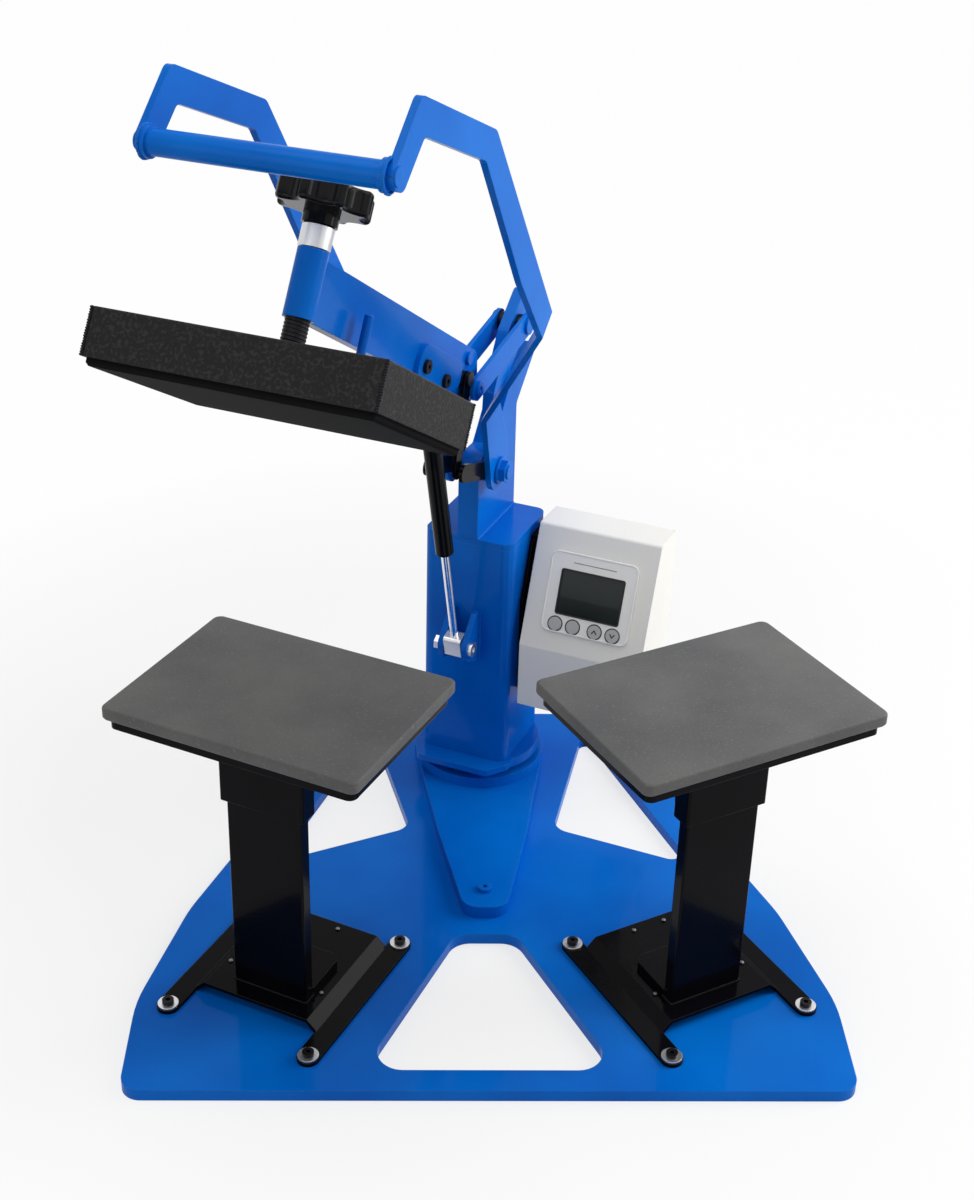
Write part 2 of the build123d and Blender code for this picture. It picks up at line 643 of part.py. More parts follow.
bracket_out = arm_half + BRACKET_PLATE_T
bracket = side([
    (BOLT_A[0] - 12, ARM_HIGH - 15, 15), (ly - 12, ARM_HIGH - 15, 10), (ly - 12, ARM_HIGH - 33, 6),
    (sly + 10.5, slz + 4, 4), (sly + 10.5, slz - 10.5, 9), (sly - 10.5, slz - 10.5, 9),
    (sly - 12, slz + 6, 6), (BOLT_A[0] - 12, ARM_LOW - 8, 14),
], arm_half, bracket_out)
bracket -= rod((0, sly, slz), (bracket_out + 1, sly, slz), EYE_PIN_R)
for bolt_at in (BOLT_A, BOLT_B):
    bracket -= rod((0, *bolt_at), (bracket_out + 1, *bolt_at), BRACKET_BOLT_R)
    bolt = rod((-bracket_out, *bolt_at), (bracket_out, *bolt_at), BRACKET_BOLT_R)
    bolt += rod((bracket_out, *bolt_at), (bracket_out + 3.0, *bolt_at), BRACKET_BOLT_R + 2.4)
    bolt += nut((-bracket_out - 3.6, *bolt_at), (-bracket_out, *bolt_at), 9.0)
    bolt -= nut((bracket_out + 1.2, *bolt_at), (bracket_out + 4, *bolt_at), 3.6)
    bolt_set.append(bolt)
save_arm("spring_brackets", both(bracket))
bolt_set.append(rod((-bracket_out - 1.5, sly, slz), (bracket_out + 1.5, sly, slz), EYE_PIN_R))

pin_head = link_out + 0.2
link_pin = rod((-pin_head, ly, lz), (pin_head, ly, lz), LINK_PIN_R)
for s in (-1, 1):
    link_pin += rod((s * pin_head, ly, lz), (s * (pin_head + 2.4), ly, lz), LINK_PIN_R + 1.8)
    link_pin += rod((s * arm_half, ly, lz), (s * (link_x - 0.1), ly, lz), LINK_PIN_R + 2.0)
bolt_set.append(link_pin)
save_arm("arm_bolts", group(bolt_set))

end_bolt = rod((-arm_half, *END_BOLT), (arm_half, *END_BOLT), BRACKET_BOLT_R)
end_bolt += rod((arm_half, *END_BOLT), (arm_half + 2.6, *END_BOLT), BRACKET_BOLT_R + 2.0)
end_bolt += nut((-arm_half - 2.6, *END_BOLT), (-arm_half, *END_BOLT), 9.0)
save_arm("arm_end_bolt", end_bolt)

# pressure screw, knob and platen
knob_low = collar_top + 0.3
knob_mid = knob_low + KNOB_STEM_H
knob_top = knob_mid + KNOB_H
scallop_at = KNOB_R - SCALLOP_DEPTH + SCALLOP_R
knob = rod((0, SCREW_Y, knob_mid), (0, SCREW_Y, knob_top), KNOB_R)
for i in range(LOBES):
    a = 2 * math.pi * (i + 0.5) / LOBES
    cut_x = scallop_at * math.cos(a)
    cut_y = SCREW_Y + scallop_at * math.sin(a)
    knob -= rod((cut_x, cut_y, knob_mid - 1), (cut_x, cut_y, knob_top + 1), SCALLOP_R)
knob = fillet(knob.edges().filter_by(Axis.Z), 2.5)
knob = fillet(knob.faces().filter_by(Plane.XY).edges(), 3.0)
knob += rod((0, SCREW_Y, knob_low), (0, SCREW_Y, knob_mid + 1), KNOB_STEM_R)
knob -= rod((0, SCREW_Y, knob_top - 3.5), (0, SCREW_Y, knob_top + 1), KNOB_R - 17.5)
knob -= rod((0, SCREW_Y, knob_low - 1), (0, SCREW_Y, knob_top + 1), PRESS_SCREW_R + 0.06)
save_arm("pressure_knob", knob)

screw_tip = knob_top + 3.5
press_screw = rod((0, SCREW_Y, COVER_TOP + 5), (0, SCREW_Y, screw_tip), PRESS_SCREW_R)
press_screw = chamfer(press_screw.edges().filter_by(GeomType.CIRCLE).sort_by(Axis.Z)[-1], 1.5)
press_screw += rod((0, SCREW_Y, COVER_TOP), (0, SCREW_Y, COVER_TOP + 6), 20.0)
save_arm("pressure_screw", press_screw)

px0 = -PLATEN_X / 2
px1 = PLATEN_X / 2
py0 = SCREW_Y - PLATEN_Y / 2
py1 = SCREW_Y + PLATEN_Y / 2


def platen_slab(inset, z0, z1, r):
    return flat([(px0 + inset, py0 + inset, r), (px1 - inset, py0 + inset, r),
                 (px1 - inset, py1 - inset, r), (px0 + inset, py1 - inset, r)], z0, z1)


COVER_LOW = PLATEN_LOW + 5.0
cover = platen_slab(0, COVER_LOW, COVER_TOP, 2.5)
cover = fillet(cover.faces().sort_by(Axis.Z)[-1].edges(), 1.5)
cover -= platen_slab(COVER_WALL, COVER_LOW - 1, COVER_TOP - COVER_WALL, 2.0)
save_arm("platen_cover", cover)
plate_high = PLATEN_LOW + HEAT_PLATE_T
heat_plate = platen_slab(COVER_WALL + 0.2, PLATEN_LOW, plate_high, 3.0)
heat_plate = chamfer(heat_plate.faces().sort_by(Axis.Z)[0].edges(), 2.0)
save_arm("heat_plate", heat_plate)
element_top = plate_high + 5.0
element = platen_slab(14, plate_high, element_top, 6.0)
for i in range(5):
    slot_y = py0 + 30 + i * 22.5
    x_shift = 10 if i % 2 else -10
    element -= box(px0 + 30 + x_shift, px1 - 30 + x_shift, slot_y - 4, slot_y + 4, plate_high - 1, element_top + 1)
save_arm("heating_element", element)
save_arm("platen_insulation", platen_slab(COVER_WALL + 1, element_top, COVER_TOP - COVER_WALL, 1.0))

guide_pin = rod((GUIDE_X, GUIDE_Y, COVER_TOP), (GUIDE_X, GUIDE_Y, GUIDE_TOP), GUIDE_R)
guide_pin = chamfer(guide_pin.edges().filter_by(GeomType.CIRCLE).sort_by(Axis.Z)[-1], 0.6)
save_arm("guide_pin", guide_pin)

# drive links and cranks
link_top = level_to_tilted(LINK_PIN)


def strap(a, b, width, x0, x1):
    """Flat link with round ends from a to b, both in y and z."""
    length = math.hypot(b[0] - a[0], b[1] - a[1])
    ux = -(b[1] - a[1]) / length * width / 2
    uw = (b[0] - a[0]) / length * width / 2
    bar_part = side([(a[0] + ux, a[1] + uw, 0), (b[0] + ux, b[1] + uw, 0),
                     (b[0] - ux, b[1] - uw, 0), (a[0] - ux, a[1] - uw, 0)], x0, x1)
    bar_part += rod((x0, a[0], a[1]), (x1, a[0], a[1]), width / 2)
    bar_part += rod((x0, b[0], b[1]), (x1, b[0], b[1]), width / 2)
    return bar_part


link = strap(link_top, CRANK_PIN, LINK_W, link_x, link_out)
link -= rod((0, *link_top), (bar_out, *link_top), LINK_PIN_R + PIN_FIT)
link -= rod((0, *CRANK_PIN), (bar_out, *CRANK_PIN), CRANK_PIN_R + CRANK_PLAY)
save_head("drive_links", both(link))

crank_out = LEG_IN
crank_x = crank_out - CRANK_T
crank = strap(HANDLE_PIVOT, CRANK_PIN, CRANK_W, crank_x, crank_out)
crank += rod((link_x, *CRANK_PIN), (crank_x + 1, *CRANK_PIN), CRANK_PIN_R)
crank -= rod((0, py, pz), (crank_out + 1, py, pz), PIVOT_BOLT_R + PIN_FIT)
save_head("handle_cranks", both(crank))

# handle
foot_front = (py - 31, pz + 54)
foot_rear = (py - 5, pz + 65)
handle_out = HANDLE_IN + HANDLE_T
leg_out = LEG_IN + HANDLE_T
plate_shape = side([
    (GRIP[0] - 13, GRIP[1] - 3, 9), (GRIP[0] + 33, GRIP[1] + 40.5, 7), (*HANDLE_REAR, 12), (*HANDLE_BEND_REAR, 0),
    (*HANDLE_BEND_FRONT, 0), (*HANDLE_INNER_LOW, 40), (*HANDLE_INNER_REAR, 7), (GRIP[0] + 37, GRIP[1] + 15, 6),
    (GRIP[0] + 7, GRIP[1] - 12, 8),
], HANDLE_IN, handle_out)
upper = Face(Wire.make_polygon([(HANDLE_IN, *HANDLE_BEND_FRONT), (handle_out, *HANDLE_BEND_FRONT),
                                (handle_out, *HANDLE_BEND_REAR), (HANDLE_IN, *HANDLE_BEND_REAR)]))
lower = Face(Wire.make_polygon([(LEG_IN, *foot_front), (leg_out, *foot_front),
                                (leg_out, *foot_rear), (LEG_IN, *foot_rear)]))
slant = loft([upper, lower], ruled=True)
leg = side([
    (*foot_front, 0), (py - 19, pz + 4, 6), (py - LEG_END, pz - LEG_END, LEG_END - 0.1),
    (py + LEG_END, pz - LEG_END, LEG_END - 0.1), (py + LEG_END, pz + 22, 12), (*foot_rear, 0),
], LEG_IN, leg_out)
handle_plate = plate_shape + slant + leg
handle_plate -= rod((0, py, pz), (leg_out + 1, py, pz), PIVOT_BOLT_R + PIN_FIT)
handle_plate -= rod((HANDLE_IN - 1, *GRIP), (handle_out + 1, *GRIP), GRIP_END_R)
save_head("handle_plate_right", handle_plate)
save_head("handle_plate_left", mirrored(handle_plate))

grip = rod((-HANDLE_IN, *GRIP), (HANDLE_IN, *GRIP), GRIP_R)
for s in (-1, 1):
    grip += rod((s * HANDLE_IN, *GRIP), (s * (handle_out + 1.0), *GRIP), GRIP_END_R)
    grip += rod((s * (HANDLE_IN - 4), *GRIP), (s * HANDLE_IN, *GRIP), GRIP_R + 1.8)
save_head("grip_bar", grip)

# handle pivot bolt with its washers and nuts, held by the mast
WASHER_WIDE = 11.0
PIVOT_WASHER_T = 1.8
PIVOT_NUT_T = 5.7
far = leg_out + LINK_GAP
pivot_bolt = rod((-far - 8, py, pz), (far + 9, py, pz), PIVOT_BOLT_R)
washer_set = [pivot_bolt]
for s in (-1, 1):
    x_mast = s * MAST_T / 2
    x_crank = s * (crank_x - 0.1)
    washer_set.append(tube((x_mast, py, pz), (x_crank, py, pz), WASHER_WIDE, PIVOT_BOLT_R))
    w0 = s * far
    w1 = s * (far + PIVOT_WASHER_T)
    washer_set.append(tube((w0, py, pz), (w1, py, pz), WASHER_WIDE + 0.5, PIVOT_BOLT_R))
    n1 = s * (far + PIVOT_WASHER_T + PIVOT_NUT_T)
    pivot_nut = nut((w1, py, pz), (n1, py, pz), 17.0)
    washer_set.append(pivot_nut - rod((w1 - s, py, pz), (n1 + s, py, pz), PIVOT_BOLT_R))
save_head("handle_pivot_bolt", group(washer_set))

# control box
BOX_X0 = half + BOX_GAP
BOX_X1 = BOX_X0 + BOX_W
profile = [
    (BOX_FRONT, BOX_BOTTOM, 1.5), (BOX_FRONT, BOX_BEND, 3), (BOX_TOP_FRONT, BOX_TOP, 3),
    (BOX_BACK, BOX_TOP - 2, 2), (BOX_BACK, BOX_BOTTOM, 2),
]
shell = side(profile, BOX_X0, BOX_X1)
slope = math.hypot(BOX_TOP_FRONT - BOX_FRONT, BOX_TOP - BOX_BEND)
along = Vector(0, (BOX_TOP_FRONT - BOX_FRONT) / slope, (BOX_TOP - BOX_BEND) / slope)
panel_plane = Plane(origin=(0, BOX_FRONT, BOX_BEND), x_dir=(1, 0, 0), z_dir=Vector(1, 0, 0).cross(along))
inside_profile = [
    (BOX_FRONT + BOX_WALL, BOX_BOTTOM + BOX_WALL, 1), (BOX_FRONT + BOX_WALL, BOX_BEND + 0.4, 1),
    (BOX_TOP_FRONT + 1.3, BOX_TOP - BOX_WALL, 1), (BOX_BACK - BOX_WALL, BOX_TOP - 2 - BOX_WALL, 1),
    (BOX_BACK - BOX_WALL, BOX_BOTTOM + BOX_WALL, 1),
]
shell -= side(inside_profile, BOX_X0 + BOX_WALL, BOX_X1 - BOX_WALL)
panel_x0 = BOX_X0 + PANEL_IN
panel_x1 = panel_x0 + PANEL_W
panel_corners = [(panel_x0, PANEL_S0, 6), (panel_x1, PANEL_S0, 6), (panel_x1, PANEL_S1, 6), (panel_x0, PANEL_S1, 6)]
display_x0 = BOX_X0 + DISPLAY_IN
display_x1 = display_x0 + DISPLAY_W
key_places = [BOX_X0 + key_in for key_in in KEY_AT]


def on_panel(shape):
    """Drawn on the sloping front: x across, y up the slope, z out of it."""
    return panel_plane * shape


shell -= on_panel(box(display_x0 - 2, display_x1 + 2, DISPLAY_S0 - 2, DISPLAY_S1 + 2, -8, 1))
for kx in key_places:
    shell -= on_panel(rod((kx, KEY_S, -8), (kx, KEY_S, 2), KEY_R + 0.6))
shell -= box(BOX_X1 - 8, BOX_X1 + 2, SWITCH_Y - 7, SWITCH_Y + 7, SWITCH_Z - 10, SWITCH_Z + 10)
gland_x = BOX_X0 + GLAND_IN
gland_in = CORD_R + 2.0
shell -= rod((gland_x, GLAND_Y, BOX_BOTTOM - 2), (gland_x, GLAND_Y, BOX_BOTTOM + 6), gland_in)
save_head("control_housing", shell)

panel = on_panel(flat(panel_corners, 0, PANEL_T))
panel -= on_panel(box(display_x0, display_x1, DISPLAY_S0, DISPLAY_S1, -1, PANEL_T + 1))
for kx in key_places:
    panel -= on_panel(rod((kx, KEY_S, -1), (kx, KEY_S, PANEL_T + 1), KEY_R + 0.35))
save_head("control_panel", panel)
window = on_panel(box(display_x0, display_x1, DISPLAY_S0, DISPLAY_S1, -1.4, 0.9))
save_head("display_window", window)
key_words = ("start", "set", "up", "down")
for kx, word in zip(key_places, key_words):
    key = rod((kx, KEY_S, -0.8), (kx, KEY_S, PANEL_T + 0.9), KEY_R)
    key = chamfer(key.edges().filter_by(GeomType.CIRCLE).sort_by(Axis.Z)[-1], 0.4)
    save_head("key_" + word, on_panel(key))
board = on_panel(box(panel_x0 + 1.6, panel_x1 - 0.6, PANEL_S0 - 4.2, PANEL_S1 + 2, -9.0, -7.4))
for kx in key_places:
    board += on_panel(box(kx - 3, kx + 3, KEY_S - 3, KEY_S + 3, -7.6, -2.0))
board += on_panel(box(display_x0, display_x1, DISPLAY_S0, DISPLAY_S1, -7.6, -1.7))
board += on_panel(box(display_x0 - 3, display_x0 + 17, DISPLAY_S1 + 2.2, PANEL_S1 - 2, -26.0, -8.9))
save_head("circuit_board", board)

rocker_x = BOX_X1 - ROCKER_DEPTH
rocker_y0 = SWITCH_Y - 6.2
rocker_y1 = SWITCH_Y + 6.2
rocker = box(BOX_X1 - 3.4, BOX_X1 + 1.2, rocker_y0, rocker_y1, SWITCH_Z - 9.0, SWITCH_Z + 9.0)
rocker = fillet(rocker.edges().filter_by(Axis.Y), 1.2)
rocker += rod((rocker_x, rocker_y0, SWITCH_Z), (rocker_x, rocker_y1, SWITCH_Z), 2.4)
save_head("power_rocker", rocker)

gland = tube((gland_x, GLAND_Y, BOX_BOTTOM - 14), (gland_x, GLAND_Y, BOX_BOTTOM), CORD_R + 5, CORD_R)
gland += tube((gland_x, GLAND_Y, BOX_BOTTOM), (gland_x, GLAND_Y, BOX_BOTTOM + 6), gland_in, CORD_R)
save_head("cord_gland", gland)

mount_low = BOX_BOTTOM + 5
mount_high = BOX_TOP - 14
mount = side(
    [(MOUNT_FRONT, mount_low, 0), (MOUNT_FRONT, MOUNT_BEND, 0), (MOUNT_TOP_FRONT, mount_high, 0),
     (MOUNT_BACK, mount_high, 0), (MOUNT_BACK, mount_low, 0)],
    half, BOX_X0,
)
mount -= box(half + MOUNT_T, BOX_X0 - MOUNT_T, MOUNT_FRONT - 4, MOUNT_BACK + 4, mount_low + 4, mount_high - 4)
save_head("control_mount", mount)
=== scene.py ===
import json
import math

import bmesh
import bpy
from mathutils import Matrix, Vector


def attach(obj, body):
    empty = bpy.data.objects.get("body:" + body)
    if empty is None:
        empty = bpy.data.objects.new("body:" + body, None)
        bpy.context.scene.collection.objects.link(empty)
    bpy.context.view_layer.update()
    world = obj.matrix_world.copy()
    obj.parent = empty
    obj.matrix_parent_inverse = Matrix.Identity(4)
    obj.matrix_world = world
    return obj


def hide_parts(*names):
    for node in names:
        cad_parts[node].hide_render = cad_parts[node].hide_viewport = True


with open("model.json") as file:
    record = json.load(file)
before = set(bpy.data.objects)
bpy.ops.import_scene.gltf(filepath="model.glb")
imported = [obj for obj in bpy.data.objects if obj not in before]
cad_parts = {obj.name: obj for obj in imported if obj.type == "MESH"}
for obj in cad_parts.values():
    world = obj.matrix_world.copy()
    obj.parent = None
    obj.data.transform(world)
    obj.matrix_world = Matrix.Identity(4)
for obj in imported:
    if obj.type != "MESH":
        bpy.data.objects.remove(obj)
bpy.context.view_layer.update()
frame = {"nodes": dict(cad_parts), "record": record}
nodes = frame["nodes"]
record = frame["record"]

# Sizes in metres, the same as the solids'. The side view is (y, z) on a head that faces -Y.
MM = 0.001
HEAD_TURN = math.radians(-24.5)
ARM_TILT = math.radians(30.5)
ARM_PIVOT = (46 * MM, 421 * MM)
SCREW_Y = -334 * MM
SCREW_R = 8 * MM
COVER_TOP = 315 * MM
COVER_LOW = 283 * MM
PLATEN_X = 203.2 * MM
PLATEN_Y = 150 * MM
ARM_LOW = 339 * MM
ARM_HIGH = 381 * MM
SLEEVE_R = 10.4 * MM
ARM_T = 10 * MM
KNOB_TOP = 426.3 * MM
FOOT = (154.46 * MM, -295 * MM)
FOOT_TURN = math.radians(27)
PAD_SHIFT = (4.4 * MM, -2.31 * MM)
PAD_LOW = 258 * MM
PAD_TOP = 267.5 * MM
PAD_CORNER = 6 * MM
DECK_TOP = 20.5 * MM
POST_HALF = 31 * MM
POST_FRONT = -31 * MM
POST_REAR = -20 * MM
POST_FLANGE_T = 6 * MM
COLUMN_HALF = 40 * MM
COLUMN_TOP = 259 * MM
MAST_HALF = 9 * MM
MAST_FRONT = -40 * MM
MAST_REAR = 40 * MM
LUG_X = 13.2 * MM
LUG_LOW = 144 * MM
LUG_HIGH = 190 * MM
BOX_FRONT = (-34 * MM, 165 * MM)
BOX_TOP_FRONT = (5.3 * MM, 264.3 * MM)
BOX_RIGHT = 156 * MM
PANEL_T = 1.6 * MM
KEY_X = (76.6 * MM, 92.4 * MM, 111.9 * MM, 127.8 * MM)
KEY_S = 24.5 * MM
KEY_R = 5.8 * MM
KEY_RISE = 0.9 * MM
GRIP = (-358 * MM, 655 * MM)
GRIP_COLLAR_R = 10.4 * MM
HANDLE_IN = 82 * MM

# Sizes of the details that only the scene has.
# soft edge of a pad: (inset, distance from the flat face), in PAD_EDGE
PAD_EDGE = 1.6 * MM
PAD_LOW_EDGE = ((1, 0), (0.4, 0.25), (0, 1))
PAD_TOP_EDGE = ((0, 1), (0.12, 0.55), (0.5, 0.12), (1.2, 0))
# a weld stops this far from the ends of its seam
WELD_STOP = 1 * MM
# the arm runs into its sleeve this far behind the screw, in sleeve radii
NECK = 0.91
# the beads at the platen's corners lie this deep
CORNER_SINK = 0.5 * MM
RIVETS = ((-14 * MM, 54.6 * MM), (14 * MM, 54.6 * MM), (-40 * MM, -16 * MM), (40 * MM, -16 * MM))
RIVET_R = 1.85 * MM
RIVET_LIFT = 0.9 * MM
THREAD_FROM = 6.5 * MM
THREAD_SINK = 0.15 * MM
THREAD_LENGTH = 38 * MM
THREAD_TURNS = 15.2
THREAD_RIDGE = 0.7 * MM
# (radius, height) of the pressure screw's turned end, in millimetres
TIP = ((7.6, 0.0), (7.6, 2.2), (7.0, 3.0), (5.6, 3.5), (2.2, 3.7))
TIP_LIFT = 2.1 * MM
# on the panel: (left, right, low, high)
PANEL_RIM = (64.4 * MM, 140.6 * MM, 18.2 * MM, 86 * MM)
PANEL_CORNER = 6 * MM
DISPLAY_RIM = (75 * MM, 130.8 * MM, 33.6 * MM, 71.8 * MM)
DISPLAY_CORNER = 1.5 * MM
PANEL_LINE_X = (84 * MM, 122 * MM)
PANEL_LINE_S = 78.6 * MM
KEY_RING = 0.5 * MM
# outline of an arrow that points up, in millimetres from the key's middle
ARROW = ((-2.6, -1.3), (0, 2.0), (2.6, -1.3), (1.7, -1.8), (0, 0.5), (-1.7, -1.8))
ARROW_SINK = 0.1 * MM
ARROW_RISE = 0.12 * MM
ROCKER_RISE = 1.2 * MM
ROCKER_Y = 20 * MM
ON_MARK_Z = (121 * MM, 125 * MM)
OFF_MARK_Z = 133 * MM
OFF_MARK_R = 2 * MM
MARK_WIRE = 0.3 * MM

X_AXIS = (1, 0, 0)
Y_AXIS = (0, 1, 0)
Z_AXIS = (0, 0, 1)

# where the head, the raised arm, the two feet and the sloping panel stand
HEAD = Matrix.Rotation(HEAD_TURN, 4, "Z")
TO_PIVOT = Matrix.Translation((0, ARM_PIVOT[0], ARM_PIVOT[1]))
ARM = HEAD @ TO_PIVOT @ Matrix.Rotation(-ARM_TILT, 4, "X") @ TO_PIVOT.inverted()
LEFT_FOOT = Matrix.Translation((-FOOT[0], FOOT[1], 0)) @ Matrix.Rotation(-FOOT_TURN, 4, "Z")
RIGHT_FOOT = Matrix.Translation((FOOT[0], FOOT[1], 0)) @ Matrix.Rotation(FOOT_TURN, 4, "Z")
FEET = (("left", LEFT_FOOT, -1), ("right", RIGHT_FOOT, 1))
PANEL_RUN = Vector((0, BOX_TOP_FRONT[0] - BOX_FRONT[0], BOX_TOP_FRONT[1] - BOX_FRONT[1]))
PANEL_UP = PANEL_RUN.normalized()
PANEL_OUT = Vector(X_AXIS).cross(PANEL_UP)
PANEL_AXES = Matrix((Vector(X_AXIS), PANEL_UP, PANEL_OUT)).transposed().to_4x4()
PANEL = HEAD @ Matrix.Translation((0, BOX_FRONT[0], BOX_FRONT[1])) @ PANEL_AXES


class Value:
    """One output of a node, with arithmetic that adds Math nodes."""

    def __init__(self, graph, socket):
        self.graph = graph
        self.socket = socket

    def math(self, operation, *values, clamp=False):
        settings = {"operation": operation, "use_clamp": clamp}
        return self.graph.add("ShaderNodeMath", settings, dict(enumerate(values)))

    def __add__(self, other):
        return self.math("ADD", self, other)

    __radd__ = __add__

    def __sub__(self, other):
        return self.math("SUBTRACT", self, other)

    def __rsub__(self, other):
        return self.math("SUBTRACT", other, self)

    def __mul__(self, other):
        return self.math("MULTIPLY", self, other)

    def clamped(self):
        return self.math("ADD", self, 0.0, clamp=True)


class Graph:
    """A node tree that is filled one node at a time."""

    def __init__(self, tree):
        self.tree = tree

    def add(self, kind, settings=None, values=None, out=0):
        node = self.tree.nodes.new(kind)
        for name, setting in (settings or {}).items():
            setattr(node, name, setting)
        for place, value in (values or {}).items():
            if isinstance(value, Value):
                self.tree.links.new(value.socket, node.inputs[place])
            else:
                node.inputs[place].default_value = value
        return Value(self, node.outputs[out])

    def ramp(self, factor, stops):
        """Colour ramp from (place, grey) stops."""
        node = self.tree.nodes.new("ShaderNodeValToRGB")
        points = node.color_ramp.elements
        while len(points) < len(stops):
            points.new(0.5)
        for point, (place, grey) in zip(points, stops):
            point.position = place
            point.color = (grey, grey, grey, 1)
        self.tree.links.new(factor.socket, node.inputs[0])
        return Value(self, node.outputs[0])


class Finish(Graph):
    """A material with one principled shader."""

    def __init__(self, name, **numbers):
        self.material = bpy.data.materials.new(name)
        self.material.use_nodes = True
        super().__init__(self.material.node_tree)
        self.tree.nodes.clear()
        self.shader = self.tree.nodes.new("ShaderNodeBsdfPrincipled")
        self.output = self.tree.nodes.new("ShaderNodeOutputMaterial")
        self.tree.links.new(self.shader.outputs[0], self.output.inputs[0])
        self.place = self.add("ShaderNodeTexCoord", out="Object")
        for word, number in numbers.items():
            self.shader.inputs[word.replace("_", " ")].default_value = number

    def feed(self, socket, value):
        self.tree.links.new(value.socket, self.shader.inputs[socket])

    def noise(self, scale, detail=2.0, place=None):
        return self.add("ShaderNodeTexNoise", {}, {
            "Vector": place or self.place, "Scale": scale, "Detail": detail,
        })

    def stretched(self, x, y, z):
        return self.add("ShaderNodeMapping", {}, {"Vector": self.place, "Scale": (x, y, z)})

    def between(self, dark, light, factor):
        """Colour from dark to light, each a colour or a value."""
        low, high = (c if isinstance(c, Value) else (*c, 1) for c in (dark, light))
        # inputs 6 and 7 and output 2 are the node's colours
        return self.add("ShaderNodeMix", {"data_type": "RGBA"}, {0: factor, 6: low, 7: high}, out=2)

    def rounded(self, radius):
        """Normal that softens sharp edges over that radius."""
        return self.add("ShaderNodeBevel", {"samples": 6}, {"Radius": radius}, out="Normal")

    def edge_of(self, normal, strength):
        """Mask that is 1 on the softened edges."""
        flat = self.add("ShaderNodeNewGeometry", out="Normal")
        same = self.add("ShaderNodeVectorMath", {"operation": "DOT_PRODUCT"},
                        {0: normal, 1: flat}, out="Value")
        return ((1.0 - same) * strength).clamped()

    def bump(self, height, strength, distance, normal=None):
        values = {"Height": height, "Strength": strength, "Distance": distance}
        if normal:
            values["Normal"] = normal
        self.feed("Normal", self.add("ShaderNodeBump", {}, values))


def enamel(name, deep, bright, edge, peel=0.10, rough=0.24, coat=0.08):
    """Glossy stove enamel: faint unevenness, orange peel and a painted highlight on the edges."""
    paint = Finish(name, Coat_Weight=coat, Coat_Roughness=0.06, IOR=1.11)
    soft = paint.rounded(0.9 * MM)
    # the edge colour laid on the softened edges is a painted highlight
    edge_highlight = paint.edge_of(soft, 3.0) * paint.noise(55.0, 4.0) * 0.9
    cloud = paint.ramp(paint.noise(7.0, 3.0), ((0.35, 0.0), (0.68, 1.0)))
    body = paint.between(deep, bright, cloud)
    paint.feed("Base Color", paint.between(body, edge, edge_highlight))
    paint.feed("Roughness", paint.noise(30.0, 4.0) * 0.14 + (rough - 0.07))
    skin = paint.noise(420.0, 1.0) * 0.7 + paint.noise(90.0, 1.0) * 0.6
    paint.bump(skin, peel, 0.5 * MM, soft)
    return paint.material


def powder_coat():
    """The platen cover's matt textured black."""
    coat = Finish("textured_black", IOR=1.2)
    soft = coat.rounded(1.2 * MM)
    grit = coat.noise(750.0, 3.0)
    fleck = coat.ramp(coat.noise(420.0, 2.0), ((0.50, 0.0), (0.64, 1.0)))
    worn = coat.edge_of(soft, 2.0) * coat.noise(80.0, 4.0)
    body = coat.between((0.014, 0.014, 0.015), (0.032, 0.031, 0.033), fleck)
    coat.feed("Base Color", coat.between(body, (0.11, 0.11, 0.115), worn))
    coat.feed("Roughness", grit * 0.25 + 0.42)
    coat.bump(grit, 0.55, 0.35 * MM, soft)
    return coat.material


def silicone():
    """Dense silicone sponge with a fine closed skin."""
    pad = Finish("silicone_pad", IOR=1.35, Sheen_Weight=0.05, Sheen_Roughness=0.5)
    pores = pad.noise(1100.0, 2.0)
    cloud = pad.ramp(pad.noise(16.0, 4.0), ((0.3, 0.0), (0.75, 1.0)))
    speck = pad.ramp(pad.noise(520.0, 2.0), ((0.60, 0.0), (0.70, 1.0)))
    body = pad.between((0.088, 0.088, 0.089), (0.135, 0.134, 0.129), cloud)
    pad.feed("Base Color", pad.between(body, (0.19, 0.19, 0.185), speck * 0.5))
    pad.feed("Roughness", pores * 0.2 + 0.55)
    pad.bump(pores, 0.35, 0.2 * MM)
    return pad.material


def metal(name, dark, light, rough, grain=(1, 1, 1), bump=0.08):
    """Bare or plated metal with a drawn grain."""
    steel = Finish(name, Metallic=1.0)
    soft = steel.rounded(0.4 * MM)
    lines = steel.noise(300.0, 4.0, steel.stretched(*grain))
    smudge = steel.noise(45.0, 4.0)
    steel.feed("Base Color", steel.between(dark, light, smudge))
    steel.feed("Roughness", lines * 0.16 + smudge * 0.12 + (rough - 0.1))
    steel.bump(lines, bump, 0.15 * MM, soft)
    return steel.material


def moulded(name, colour, pale, rough, grain=0.25, coat=0.0, ior=1.3):
    """Moulded or filmed plastic with a fine grain."""
    plastic = Finish(name, IOR=ior, Coat_Weight=coat, Coat_Roughness=0.08)
    soft = plastic.rounded(0.5 * MM)
    fine = plastic.noise(900.0, 2.0)
    rubbed = plastic.edge_of(soft, 2.0) * plastic.noise(60.0, 4.0)
    shade = plastic.between(colour, pale, plastic.noise(14.0, 3.0) * 0.5)
    plastic.feed("Base Color", plastic.between(shade, pale, rubbed))
    plastic.feed("Roughness", fine * 0.12 + (rough - 0.06))
    plastic.bump(fine, grain, 0.15 * MM, soft)
    return plastic.material


